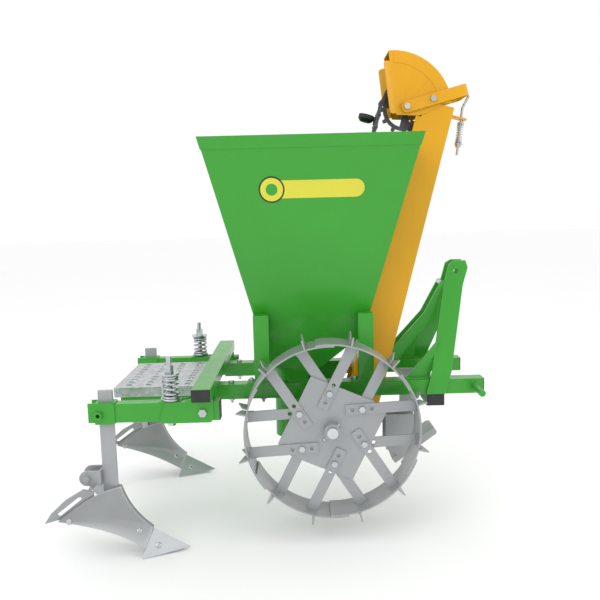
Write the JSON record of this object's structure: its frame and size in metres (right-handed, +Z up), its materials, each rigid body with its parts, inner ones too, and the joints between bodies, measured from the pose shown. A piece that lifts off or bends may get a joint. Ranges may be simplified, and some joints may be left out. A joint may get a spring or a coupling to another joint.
{
  "type": "potato planter",
  "caption": "Tractor mounted single row cup chain planter with sheet hopper, inclined duct, lugged ground wheel and two rear ridging bodies on sprung arms.",
  "frame": {"origin": "on the ground under the middle of the overall length and width", "axes": "+X forward to the tractor, +Y to the machine's left, +Z up"},
  "size_m": [1.381, 0.987, 1.6009],
  "materials": {
    "green_paint": "vivid leaf green enamel over welded steel, glossy",
    "yellow_paint": "warm golden yellow enamel over folded sheet steel, glossy",
    "grey_paint": "silver grey enamel over pressed and welded steel",
    "bright_steel": "ground bright steel, worn clean",
    "zinc": "bright zinc plate on turned and cold formed steel",
    "galvanised": "dull galvanised sheet with faint spangle",
    "chain_steel": "dark blued chain steel",
    "black_plastic": "matt black moulded plastic",
    "cast_grey": "grey cast iron"
  },
  "bodies": {
    "frame": {"rail_right": "green_paint", "rail_left": "green_paint", "end_caps": "black_plastic", "front_tube": "green_paint", "link_pins": "green_paint", "mast_right": "green_paint", "mast_left": "green_paint", "mast_braces": "green_paint", "mast_spacer": "zinc", "axle_hangers": "green_paint", "axle_bearings": "cast_grey", "hopper": "green_paint", "hopper_legs": "green_paint", "cup_trough": "green_paint", "duct": "yellow_paint", "hood": "yellow_paint", "duct_bolts": "zinc", "telescope_bars": "green_paint", "rail_bolts": "zinc", "rear_beam": "green_paint", "brackets_right": "green_paint", "brackets_left": "green_paint", "pivot_bolts": "zinc", "rod_right": "zinc", "rod_left": "zinc", "step_plate": "galvanised", "opener_clamp": "green_paint", "tension_spring": "zinc", "cup_chain": "chain_steel", "chain_cups": "black_plastic", "spring_right": "zinc", "spring_left": "zinc"},
    "wheel": {"wheel_shaft": "bright_steel", "wheel_hub": "grey_paint", "wheel_seg_1": "grey_paint", "wheel_seg_2": "grey_paint", "wheel_seg_3": "grey_paint", "wheel_seg_4": "grey_paint", "wheel_seg_5": "grey_paint", "wheel_seg_6": "grey_paint", "wheel_bolts": "zinc", "lynch_pin": "zinc", "low_sprocket": "chain_steel"},
    "lever": {"tension_lever": "yellow_paint", "up_shaft": "bright_steel"},
    "upper_sprocket": {"up_sprocket": "chain_steel"},
    "hook": {"hook_bolt": "zinc"},
    "ridger_arm_right": {"arm_right": "green_paint", "arm_cap_right": "black_plastic"},
    "ridger_arm_left": {"arm_left": "green_paint", "arm_cap_left": "black_plastic"},
    "ridger_tool_right": {"shank_right": "grey_paint", "ridger_right": "grey_paint", "share_right": "bright_steel", "wing_right": "grey_paint"},
    "ridger_tool_left": {"shank_left": "grey_paint", "ridger_left": "grey_paint", "share_left": "bright_steel", "wing_left": "grey_paint"},
    "opener": {"furrow_opener": "grey_paint"}
  },
  "joints": [
    {"name": "wheel_spin", "type": "hinge", "parent": "frame", "child": "wheel", "pos_m": [0.1715, 0, 0.376], "axis": [0, 1, 0], "continuous": true, "deforming": ["cup_chain", "chain_cups"]},
    {"name": "lever_pivot", "type": "hinge", "parent": "frame", "child": "lever", "pos_m": [0.5425, 0, 1.44009], "axis": [0, 1, 0], "range_deg": [-1, 2], "stiffness_Nm_per_rad": 400},
    {"name": "upper_sprocket_spin", "type": "hinge", "parent": "lever", "child": "upper_sprocket", "pos_m": [0.45432, 0, 1.41695], "axis": [0, 1, 0], "continuous": true},
    {"name": "hook_slide", "type": "slide", "parent": "frame", "child": "hook", "axis": [-0.1132, 0, -0.9936], "range_m": [-0.003, 0.005], "deforming": ["tension_spring"]},
    {"name": "ridger_arm_right_pivot", "type": "hinge", "parent": "frame", "child": "ridger_arm_right", "pos_m": [-0.2325, -0.326, 0.4637], "axis": [0, 1, 0], "range_deg": [0, 10], "stiffness_Nm_per_rad": 320, "springref_deg": -11.46, "deforming": ["spring_right"]},
    {"name": "ridger_arm_left_pivot", "type": "hinge", "parent": "frame", "child": "ridger_arm_left", "pos_m": [-0.2325, 0.326, 0.4637], "axis": [0, 1, 0], "range_deg": [0, 10], "stiffness_Nm_per_rad": 320, "springref_deg": -11.46, "deforming": ["spring_left"]},
    {"name": "shank_right_slide", "type": "slide", "parent": "ridger_arm_right", "child": "ridger_tool_right", "axis": [0, 0, 1], "range_m": [-0.03, 0.04]},
    {"name": "shank_left_slide", "type": "slide", "parent": "ridger_arm_left", "child": "ridger_tool_left", "axis": [0, 0, 1], "range_m": [-0.03, 0.04]},
    {"name": "opener_slide", "type": "slide", "parent": "frame", "child": "opener", "axis": [0, 0, 1], "range_m": [-0.02, 0.04]}
  ],
  "couplings": [
    {"joint": "upper_sprocket_spin", "follows": "wheel_spin", "ratio": 1.0833},
    {"joint": "hook_slide", "follows": "lever_pivot", "m_per_rad": 0.118}
  ]
}
